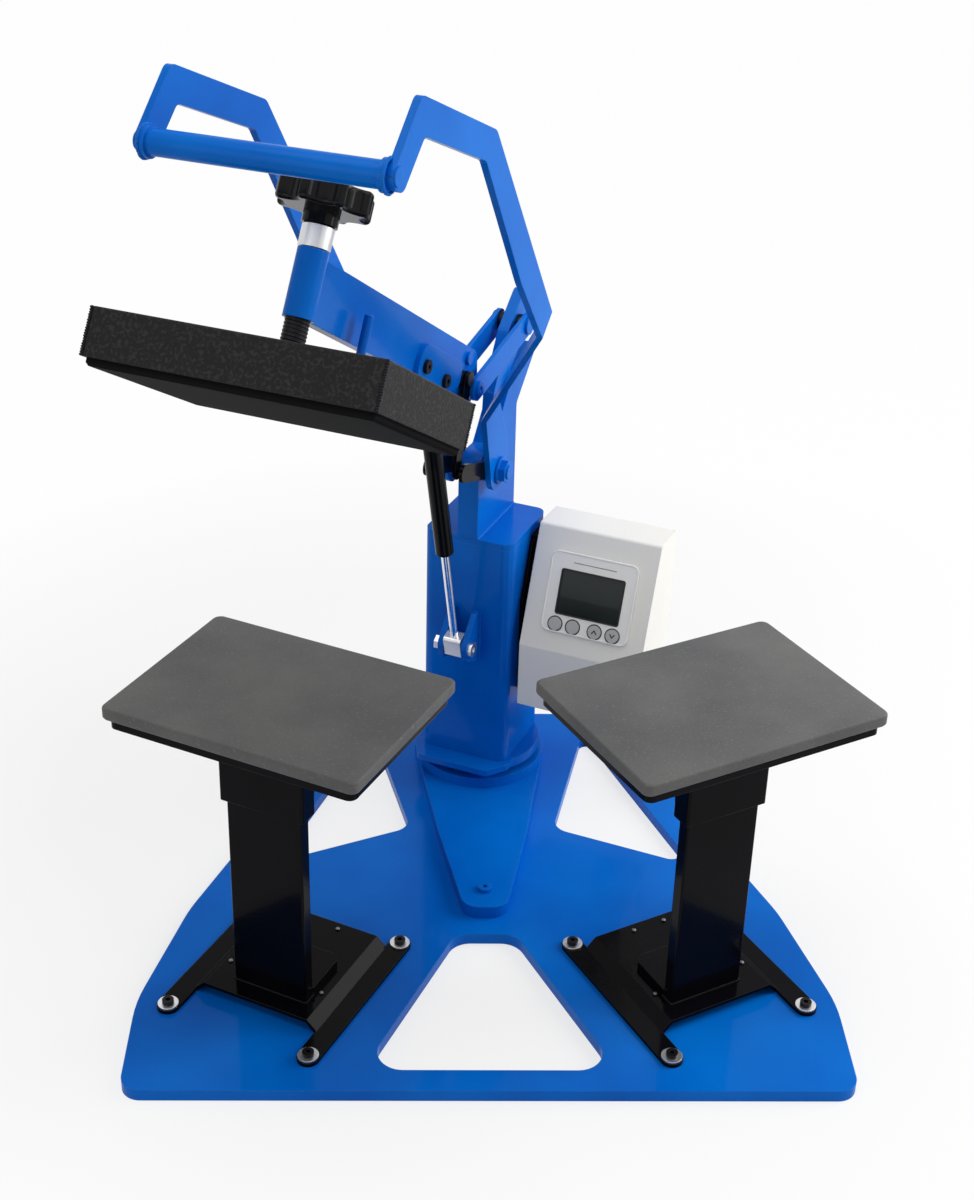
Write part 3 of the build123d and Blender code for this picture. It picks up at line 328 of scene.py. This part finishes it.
def display():
    """Dark liquid crystal under a clear window, with faint haze and a fine cell pattern."""
    glass = Finish("display_glass", IOR=1.2, Coat_Weight=0.1, Coat_Roughness=0.03)
    cells = glass.add("ShaderNodeTexVoronoi", {"feature": "DISTANCE_TO_EDGE"}, {
        "Vector": glass.place, "Scale": 900.0,
    })
    haze = glass.noise(30.0, 2.0)
    body = glass.between((0.010, 0.015, 0.015), (0.016, 0.022, 0.022), haze)
    glass.feed("Base Color", glass.between(body, (0.024, 0.031, 0.030), cells * 0.35))
    glass.feed("Roughness", haze * 0.1 + 0.12)
    return glass.material


def fibre_board():
    """Pale fibrous insulation."""
    board = Finish("insulation", IOR=1.4)
    threads = board.noise(260.0, 5.0, board.stretched(1, 6, 1))
    board.feed("Base Color", board.between((0.62, 0.60, 0.54), (0.82, 0.80, 0.74), threads))
    board.feed("Roughness", threads * 0.1 + 0.85)
    board.bump(threads, 0.6, 0.4 * MM)
    return board.material


def printed_board():
    """Green circuit board with a pattern of traces."""
    board = Finish("board_green", IOR=1.5)
    pattern = {"Vector": board.place, "Scale": 240.0}
    traces = board.add("ShaderNodeTexBrick", {}, pattern, out="Fac")
    board.feed("Base Color", board.between((0.012, 0.14, 0.05), (0.03, 0.26, 0.10), traces))
    board.feed("Roughness", board.noise(90.0) * 0.2 + 0.3)
    return board.material


# the last colour given to each enamel is the painted highlight on its edges
FINISHES = {
    "blue_paint": enamel(
        "blue_paint", (0.000, 0.118, 0.560), (0.001, 0.175, 0.700), (0.06, 0.32, 0.86)),
    "black_paint": enamel(
        "black_paint", (0.002, 0.002, 0.003), (0.004, 0.004, 0.006), (0.08, 0.08, 0.09),
        peel=0.16, rough=0.16, coat=0.05),
    "spring_black": enamel(
        "spring_black", (0.003, 0.003, 0.004), (0.006, 0.006, 0.007), (0.06, 0.06, 0.06),
        peel=0.05, rough=0.22, coat=0.12),
    "light_paint": enamel(
        "light_paint", (0.88, 0.865, 0.815), (0.91, 0.895, 0.845), (0.94, 0.93, 0.90),
        peel=0.14, rough=0.42),
    "textured_black": powder_coat(),
    "silicone_pad": silicone(),
    "plated_steel": metal(
        "plated_steel", (0.50, 0.51, 0.53), (0.78, 0.78, 0.78), rough=0.30, grain=(1, 1, 5)),
    "dull_steel": metal("dull_steel", (0.12, 0.12, 0.12), (0.24, 0.24, 0.24), rough=0.42),
    "black_steel": metal("black_steel", (0.008, 0.008, 0.010), (0.026, 0.026, 0.030), rough=0.40),
    "bright_rod": metal(
        "bright_rod", (0.72, 0.73, 0.75), (0.90, 0.90, 0.91),
        rough=0.14, grain=(4, 4, 1), bump=0.03),
    "cast_platen": moulded(
        "cast_platen", (0.007, 0.007, 0.007), (0.014, 0.014, 0.014),
        rough=0.70, grain=0.15, ior=1.08),
    "heater": metal(
        "heater", (0.28, 0.27, 0.25), (0.46, 0.44, 0.42), rough=0.48, grain=(1, 8, 1)),
    "bronze": metal("bronze", (0.42, 0.26, 0.11), (0.66, 0.46, 0.22), rough=0.36),
    "insulation": fibre_board(),
    "black_plastic": moulded(
        "black_plastic", (0.010, 0.010, 0.010), (0.05, 0.05, 0.05), rough=0.42),
    "knob_plastic": moulded(
        "knob_plastic", (0.003, 0.003, 0.003), (0.03, 0.03, 0.03),
        rough=0.14, grain=0.08, coat=0.10, ior=1.14),
    "panel_film": moulded(
        "panel_film", (0.88, 0.875, 0.84), (0.92, 0.915, 0.88), rough=0.38, grain=0.18),
    "key_plastic": moulded("key_plastic", (0.46, 0.46, 0.45), (0.56, 0.56, 0.55), rough=0.48),
    "display_glass": display(),
    "board_green": printed_board(),
}
INK = moulded("dark_ink", (0.018, 0.018, 0.020), (0.05, 0.05, 0.05), rough=0.5, grain=0.05)
PALE_MARK = moulded("pale_mark", (0.50, 0.50, 0.48), (0.62, 0.62, 0.60), rough=0.45, grain=0.05)

for part in record["subparts"]:
    solid = nodes[part["node"]].data
    solid.materials.clear()
    solid.materials.append(FINISHES[part["material_slot"]])

# these fasteners were painted over with the frame
for word in ("strut_screws", "bar_bolt"):
    nodes[word].data.materials[0] = FINISHES["blue_paint"]


def placed(name, mesh, body):
    """Puts a finished mesh in the scene and makes it ride with its body."""
    piece = bpy.data.objects.new(name, mesh)
    bpy.context.scene.collection.objects.link(piece)
    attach(piece, body)
    return piece


def new_piece(name, mesh, finish, body):
    """Places a mesh in one finish."""
    mesh.materials.clear()
    mesh.materials.append(finish)
    return placed(name, mesh, body)


def frozen(name, data, tree=None, numbers=None):
    """Plain mesh of a curve, or of a mesh that a geometry node tree has run on."""
    holder = bpy.data.objects.new(name + "_path", data)
    bpy.context.scene.collection.objects.link(holder)
    if tree:
        growth = holder.modifiers.new("growth", "NODES")
        growth.node_group = tree
        for item in tree.interface.items_tree:
            if item.name in numbers:
                growth[item.identifier] = numbers[item.name]
    bpy.context.view_layer.update()
    finished = holder.evaluated_get(bpy.context.evaluated_depsgraph_get())
    mesh = bpy.data.meshes.new_from_object(finished)
    bpy.data.objects.remove(holder)
    return mesh


def paths_mesh(name, paths, place):
    """Mesh of edges only, one open or closed path each; a path is (points, closed)."""
    points = []
    edges = []
    for path, closed in paths:
        first = len(points)
        points += [place @ Vector(p) for p in path]
        count = len(path)
        last = count if closed else count - 1
        edges += [(first + i, first + (i + 1) % count) for i in range(last)]
    mesh = bpy.data.meshes.new(name)
    mesh.from_pydata(points, edges, [])
    return mesh


def grown(name, paths, place, tree, numbers, body):
    """Places what a geometry node tree grows along the paths."""
    return placed(name, frozen(name, paths_mesh(name, paths, place), tree, numbers), body)


def new_tree(name, inputs):
    """Geometry node tree with a mesh in, a mesh out and named numbers."""
    tree = bpy.data.node_groups.new(name, "GeometryNodeTree")
    face = tree.interface
    face.new_socket("Geometry", in_out="INPUT", socket_type="NodeSocketGeometry")
    for word, number in inputs.items():
        kind = "NodeSocketInt" if isinstance(number, int) else "NodeSocketFloat"
        face.new_socket(word, in_out="INPUT", socket_type=kind).default_value = number
    face.new_socket("Geometry", in_out="OUTPUT", socket_type="NodeSocketGeometry")
    graph = Graph(tree)
    entry = tree.nodes.new("NodeGroupInput")
    return graph, {socket.name: Value(graph, socket) for socket in entry.outputs if socket.name}


def close_tree(graph, shape, finish):
    """Ends a tree in real geometry with its material."""
    real = graph.add("GeometryNodeRealizeInstances", {}, {0: shape})
    smooth = graph.add("GeometryNodeSetShadeSmooth", {}, {0: real})
    dressed = graph.add("GeometryNodeSetMaterial", {}, {0: smooth, "Material": finish})
    exit_node = graph.tree.nodes.new("NodeGroupOutput")
    graph.tree.links.new(dressed.socket, exit_node.inputs[0])
    return graph.tree


def weld_tree(name, finish):
    """Overlapping drops of weld along every path."""
    graph, given = new_tree(name, {"Bead Width": 4 * MM, "Bead Step": 1.6 * MM, "Seed": 3})
    line = graph.add("GeometryNodeMeshToCurve", {}, {0: given["Geometry"]})
    drops = graph.add("GeometryNodeResampleCurve", {"mode": "LENGTH"}, {
        "Curve": line, "Length": given["Bead Step"],
    })
    along = graph.add("GeometryNodeInputTangent")
    turn = graph.add("FunctionNodeAlignRotationToVector", {"axis": "Z"}, {"Vector": along})
    drop = graph.add("GeometryNodeMeshUVSphere", {}, {
        "Segments": 10, "Rings": 6, "Radius": given["Bead Width"] * 0.5,
    })
    # inputs 2 and 3 and output 1 are the node's numbers
    vary = graph.add("FunctionNodeRandomValue", {"data_type": "FLOAT"}, {
        2: 0.86, 3: 1.08, "Seed": given["Seed"],
    }, out=1)
    squat = graph.add("ShaderNodeCombineXYZ", {}, {0: vary, 1: vary, 2: 0.7})
    beads = graph.add("GeometryNodeInstanceOnPoints", {}, {
        "Points": drops, "Instance": drop, "Rotation": turn, "Scale": squat,
    })
    return close_tree(graph, beads, finish)


def thread_tree(finish):
    """Screw thread round the Z axis, from z = 0 up."""
    graph, given = new_tree("screw_thread", {
        "Root Radius": SCREW_R, "Length": 20 * MM, "Turns": 8.0, "Ridge": THREAD_RIDGE,
    })
    helix = graph.add("GeometryNodeCurveSpiral", {}, {
        "Resolution": 28, "Rotations": given["Turns"], "Start Radius": given["Root Radius"],
        "End Radius": given["Root Radius"], "Height": given["Length"],
    })
    ridge = graph.add("GeometryNodeCurvePrimitiveCircle", {"mode": "RADIUS"}, {
        "Resolution": 4, "Radius": given["Ridge"],
    })
    sweep = graph.add("GeometryNodeCurveToMesh", {}, {0: helix, 1: ridge, "Fill Caps": True})
    return close_tree(graph, sweep, finish)


def stud_tree(name, finish):
    """A low dome on every point, squashed along Z."""
    graph, given = new_tree(name, {"Dome Radius": 1.6 * MM, "Dome Height": 0.4})
    dome = graph.add("GeometryNodeMeshUVSphere", {}, {
        "Segments": 14, "Rings": 8, "Radius": given["Dome Radius"],
    })
    squat = graph.add("ShaderNodeCombineXYZ", {}, {0: 1.0, 1: 1.0, 2: given["Dome Height"]})
    studs = graph.add("GeometryNodeInstanceOnPoints", {}, {
        "Points": given["Geometry"], "Instance": dome, "Scale": squat,
    })
    return close_tree(graph, studs, finish)


def ring_points(centre, u, v, radius, count=40):
    """Points of a circle about a centre, in the plane of u and v."""
    turns = [2 * math.pi * i / count for i in range(count)]
    return [
        Vector(centre) + Vector(u) * radius * math.cos(a) + Vector(v) * radius * math.sin(a)
        for a in turns
    ]


def rounded_rectangle(x0, x1, y0, y1, r, z, steps=8):
    """Points round a rectangle with round corners."""
    corners = (
        (x1 - r, y1 - r, 0), (x0 + r, y1 - r, 90), (x0 + r, y0 + r, 180), (x1 - r, y0 + r, 270),
    )
    points = []
    for cx, cy, start in corners:
        for i in range(steps + 1):
            a = math.radians(start + 90 * i / steps)
            points.append((cx + r * math.cos(a), cy + r * math.sin(a), z))
    return points


def stacked(name, rings, place):
    """Closed solid through rings of equal length, first ring lowest."""
    shape = bmesh.new()
    rows = [[shape.verts.new(place @ Vector(p)) for p in ring] for ring in rings]
    count = len(rows[0])
    for low, high in zip(rows, rows[1:]):
        for i in range(count):
            j = (i + 1) % count
            shape.faces.new((low[i], low[j], high[j], high[i]))
    shape.faces.new(list(reversed(rows[0])))
    shape.faces.new(rows[-1])
    bmesh.ops.recalc_face_normals(shape, faces=shape.faces)
    mesh = bpy.data.meshes.new(name)
    shape.to_mesh(mesh)
    shape.free()
    return mesh


def smooth_by_angle(mesh, degrees=40):
    """Smooth shading, with sharp edges above that angle."""
    mesh.shade_smooth()
    mesh.set_sharp_from_angle(angle=math.radians(degrees))


def wire(name, points, radius, place, finish, body, closed=True):
    """Places a round wire along points."""
    line = bpy.data.curves.new(name, "CURVE")
    line.dimensions = "3D"
    line.bevel_depth = radius
    line.bevel_resolution = 3
    line.use_fill_caps = True
    run = line.splines.new("POLY")
    run.points.add(len(points) - 1)
    for point, p in zip(run.points, points):
        point.co = (*(place @ Vector(p)), 1)
    run.use_cyclic_u = closed
    return new_piece(name, frozen(name, line), finish, body)


def table_pad(name, foot, side_sign, node):
    """Silicone pad with soft edges all round, in place of the plain solid."""
    cx = -side_sign * PAD_SHIFT[0]
    cy = PAD_SHIFT[1]
    low = [(inset * PAD_EDGE, PAD_LOW + up * PAD_EDGE) for inset, up in PAD_LOW_EDGE]
    top = [(inset * PAD_EDGE, PAD_TOP - down * PAD_EDGE) for inset, down in PAD_TOP_EDGE]
    rings = [
        rounded_rectangle(cx - PLATEN_X / 2 + inset, cx + PLATEN_X / 2 - inset,
                          cy - PLATEN_Y / 2 + inset, cy + PLATEN_Y / 2 - inset, PAD_CORNER, z)
        for inset, z in low + top
    ]
    mesh = stacked(name, rings, foot)
    smooth_by_angle(mesh, 50)
    pad = new_piece(name, mesh, FINISHES["silicone_pad"], "stand")
    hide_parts(node)


for word, foot, side_sign in FEET:
    table_pad(word + "_pad", foot, side_sign, "table_pad_" + word)


# weld beads: painted over with the frame, and bare black steel at the platen's corners
blue_weld = weld_tree("painted_weld", FINISHES["blue_paint"])
black_weld = weld_tree("black_weld", FINISHES["black_paint"])
corner_weld = weld_tree("corner_weld", FINISHES["black_steel"])


def bead(width, step, **more):
    """Numbers for a weld tree, width and step in millimetres."""
    return {"Bead Width": width * MM, "Bead Step": step * MM, **more}


mast_low = MAST_FRONT + WELD_STOP
mast_high = MAST_REAR - WELD_STOP
mast_foot = [(-MAST_HALF, mast_low, COLUMN_TOP), (MAST_HALF, mast_low, COLUMN_TOP),
             (MAST_HALF, mast_high, COLUMN_TOP), (-MAST_HALF, mast_high, COLUMN_TOP)]
lug_lines = [
    ([(s * LUG_X, -COLUMN_HALF, LUG_LOW), (s * LUG_X, -COLUMN_HALF, LUG_HIGH)], False)
    for s in (-1, 1)
]
grown("head_welds", [(mast_foot, True)] + lug_lines, HEAD,
      blue_weld, bead(3.6, 1.5), "head")

neck_y = SCREW_Y + SLEEVE_R * NECK
neck_low = ARM_LOW + 2 * WELD_STOP
neck_high = ARM_HIGH - WELD_STOP
arm_lines = [
    ([(s * ARM_T / 2, neck_y, neck_low), (s * ARM_T / 2, neck_y, neck_high)], False)
    for s in (-1, 1)
]
grown("arm_welds", arm_lines, ARM, blue_weld, bead(3.4, 1.5, Seed=8), "arm")

grip_rings = [
    (ring_points((s * HANDLE_IN, *GRIP), Y_AXIS, Z_AXIS, GRIP_COLLAR_R), True) for s in (-1, 1)
]
grown("handle_welds", grip_rings, HEAD, blue_weld, bead(2.6, 1.2), "handle")

corner_x = PLATEN_X / 2 - CORNER_SINK
corner_y = (SCREW_Y - PLATEN_Y / 2 + CORNER_SINK, SCREW_Y + PLATEN_Y / 2 - CORNER_SINK)
corner_lines = [
    ([(sx * corner_x, y, COVER_LOW + WELD_STOP), (sx * corner_x, y, COVER_TOP - WELD_STOP)], False)
    for sx in (-1, 1) for y in corner_y
]
grown("platen_welds", corner_lines, ARM, corner_weld, bead(3.0, 1.6), "platen")

flange_top = DECK_TOP + POST_FLANGE_T
post_lines = [
    ([(-POST_HALF, POST_REAR, DECK_TOP), (-POST_HALF, POST_FRONT, DECK_TOP),
      (POST_HALF, POST_FRONT, DECK_TOP), (POST_HALF, POST_REAR, DECK_TOP)], False),
    ([(-POST_HALF, POST_REAR, flange_top), (POST_HALF, POST_REAR, flange_top)], False),
]
rivet_spots = [([(*p, DECK_TOP + RIVET_LIFT)], False) for p in RIVETS]
rivet_tree = stud_tree("rivet_heads", FINISHES["dull_steel"])
for word, foot, side_sign in FEET:
    post_place = foot @ Matrix.Translation((-side_sign * PAD_SHIFT[0], 0, 0))
    grown("post_weld_" + word, post_lines, post_place,
          black_weld, bead(2.6, 1.3), "stand")
    grown("rivets_" + word, rivet_spots, foot, rivet_tree,
          {"Dome Radius": RIVET_R, "Dome Height": 0.4}, "stand")

# thread on the pressure screw, in the gap between the platen and the arm
turned = {
    "Root Radius": SCREW_R - THREAD_SINK, "Length": THREAD_LENGTH,
    "Turns": THREAD_TURNS, "Ridge": THREAD_RIDGE,
}
thread = grown("screw_thread", [([(0, 0, 0)], False)], Matrix(),
               thread_tree(FINISHES["black_steel"]), turned, "platen")
thread.data.transform(ARM @ Matrix.Translation((0, SCREW_Y, COVER_TOP + THREAD_FROM)))

# bright turned end of the pressure screw in the knob
tip_low = KNOB_TOP + TIP_LIFT
tip_rings = [
    ring_points((0, SCREW_Y, tip_low + z * MM), X_AXIS, Y_AXIS, r * MM, 32) for r, z in TIP
]
tip_mesh = stacked("screw_tip", tip_rings, ARM)
smooth_by_angle(tip_mesh)
new_piece("screw_tip", tip_mesh, FINISHES["plated_steel"], "platen")

# control panel: raised rim, display frame, a line, rings round the keys and arrows on two of them
panel_rim = rounded_rectangle(*PANEL_RIM, PANEL_CORNER, PANEL_T * 0.8)
wire("panel_rim", panel_rim, 0.9 * MM, PANEL, FINISHES["panel_film"], "head")
display_rim = rounded_rectangle(*DISPLAY_RIM, DISPLAY_CORNER, PANEL_T)
wire("display_frame", display_rim, 0.7 * MM, PANEL, INK, "head")
panel_line = [(x, PANEL_LINE_S, PANEL_T) for x in PANEL_LINE_X]
wire("panel_line", panel_line, 0.25 * MM, PANEL, INK, "head", closed=False)
for x, word in zip(KEY_X, ("start", "set", "up", "down")):
    ring = ring_points((x, KEY_S, PANEL_T), X_AXIS, Y_AXIS, KEY_R + KEY_RING)
    wire("key_ring_" + word, ring, KEY_RING, PANEL, INK, "head")

key_top = PANEL_T + KEY_RISE
for x, word, way in ((KEY_X[2], "up", 1), (KEY_X[3], "down", -1)):
    arrow = [(x + dx * MM, KEY_S + way * dy * MM) for dx, dy in ARROW]
    rings = [[(*p, z) for p in arrow] for z in (key_top - ARROW_SINK, key_top + ARROW_RISE)]
    arrow_mesh = stacked("arrow_" + word, rings, PANEL)
    new_piece("arrow_" + word, arrow_mesh, INK, word + "_key")

# on and off marks on the rocker
rocker_face = BOX_RIGHT + ROCKER_RISE
on_mark = [(rocker_face, ROCKER_Y, z) for z in ON_MARK_Z]
off_mark = ring_points((rocker_face, ROCKER_Y, OFF_MARK_Z), Y_AXIS, Z_AXIS, OFF_MARK_R, 24)
wire("on_mark", on_mark, MARK_WIRE, HEAD, PALE_MARK, "rocker", closed=False)
wire("off_mark", off_mark, MARK_WIRE, HEAD, PALE_MARK, "rocker")

# floor: from FADE_FROM metres out it grows whiter, and near the object it keeps the shadow
FLOOR_HALF = 4
FLOOR_DROP = 0.3 * MM
FADE_FROM = 0.36
FADE_RATE = 2.6
WHITE_NEAR = 0.70
WHITE_GAIN = 0.28
# share of the room's white that lights the object; the rays below see all of it
AMBIENT = 0.26
SEEN_BY = ("Is Camera Ray", "Is Glossy Ray", "Is Transmission Ray")


def seen_rays(graph):
    """1 for the rays that show the backdrop, 0 for those that only carry light."""
    rays = graph.tree.nodes.new("ShaderNodeLightPath")
    return sum(Value(graph, rays.outputs[kind]) for kind in SEEN_BY).clamped()


def floor_finish():
    """Pale floor: white away from the object, and it keeps the shadow near it."""
    pale = Finish("pale_floor", Base_Color=(0.88, 0.88, 0.88, 1), Roughness=0.8)
    glow = pale.add("ShaderNodeEmission", {}, {"Color": (1, 1, 1, 1), "Strength": 1.0})
    seen = seen_rays(pale)
    far = pale.add("ShaderNodeVectorMath", {"operation": "LENGTH"}, {0: pale.place}, out="Value")
    fade = ((far - FADE_FROM) * FADE_RATE).clamped()
    mixed = pale.add("ShaderNodeMixShader", {}, {
        0: seen * (fade * WHITE_GAIN + WHITE_NEAR), 1: Value(pale, pale.shader.outputs[0]), 2: glow,
    })
    pale.tree.links.new(mixed.socket, pale.output.inputs[0])
    return pale.material


floor_mesh = bpy.data.meshes.new("floor")
floor_corners = [(-1, -1), (1, -1), (1, 1), (-1, 1)]
floor_points = [(x * FLOOR_HALF, y * FLOOR_HALF, 0) for x, y in floor_corners]
floor_mesh.from_pydata(floor_points, [], [(0, 1, 2, 3)])
floor_mesh.materials.append(floor_finish())
floor = bpy.data.objects.new("floor", floor_mesh)
floor.location.z = -FLOOR_DROP
bpy.context.scene.collection.objects.link(floor)


def soft_lamp(name, place, aim, size, watts):
    """Rectangular lamp that faces its aim."""
    lamp = bpy.data.lights.new(name, "AREA")
    lamp.shape = "RECTANGLE"
    lamp.size, lamp.size_y = size
    lamp.energy = watts
    thing = bpy.data.objects.new(name, lamp)
    thing.location = place
    thing.rotation_euler = (Vector(aim) - Vector(place)).to_track_quat("-Z", "Y").to_euler()
    bpy.context.scene.collection.objects.link(thing)


soft_lamp("window_light", place=(1.5, 0.0, 1.15), aim=(0, -0.1, 0.3), size=(1.3, 1.4), watts=25)
soft_lamp("ceiling_light", place=(-0.2, -0.4, 2.2), aim=(0, -0.1, 0.2), size=(1.6, 1.6), watts=17)
soft_lamp("front_light", place=(-1.3, -1.7, 1.0), aim=(0, -0.1, 0.3), size=(1.2, 1.2), watts=5)

# white room
world = bpy.data.worlds.new("room")
world.use_nodes = True
bpy.context.scene.world = world
world.node_tree.nodes.clear()
room = Graph(world.node_tree)
level = seen_rays(room) * (1.0 - AMBIENT) + AMBIENT
backdrop = room.add("ShaderNodeBackground", {}, {"Color": (1, 1, 1, 1), "Strength": level})
world_output = world.node_tree.nodes.new("ShaderNodeOutputWorld")
world.node_tree.links.new(backdrop.socket, world_output.inputs[0])

bpy.context.scene.view_settings.view_transform = "Standard"

# camera at the photograph's angle: its lens in pixels of the picture, its place in metres
IMAGE_W = 974
IMAGE_H = 1200
FOCAL_PX = 1808.806
CENTRE_PX = (482.325, 558.543)
CAMERA_AT = (-0.050776, -1.386202, 0.940794)
YAW = 0.035
PITCH = 0.479
ROLL = 0.027
SENSOR_MM = 24.0
NEAREST = 0.05
forward = Vector((
    math.sin(YAW) * math.cos(PITCH), math.cos(YAW) * math.cos(PITCH), -math.sin(PITCH),
))
level_right = Vector((math.cos(YAW), -math.sin(YAW), 0))
level_up = level_right.cross(forward)
right = math.cos(ROLL) * level_right + math.sin(ROLL) * level_up
up = math.cos(ROLL) * level_up - math.sin(ROLL) * level_right
lens = bpy.data.cameras.new("photo_camera")
lens.sensor_fit = "VERTICAL"
lens.sensor_height = SENSOR_MM
lens.lens = FOCAL_PX / IMAGE_H * SENSOR_MM
lens.shift_x = (IMAGE_W / 2 - CENTRE_PX[0]) / IMAGE_H
lens.shift_y = (CENTRE_PX[1] - IMAGE_H / 2) / IMAGE_H
lens.clip_start = NEAREST
camera = bpy.data.objects.new("photo_camera", lens)
turn = Matrix((right, up, -forward)).transposed().to_4x4()
camera.matrix_world = Matrix.Translation(CAMERA_AT) @ turn
bpy.context.scene.collection.objects.link(camera)
bpy.context.scene.camera = camera
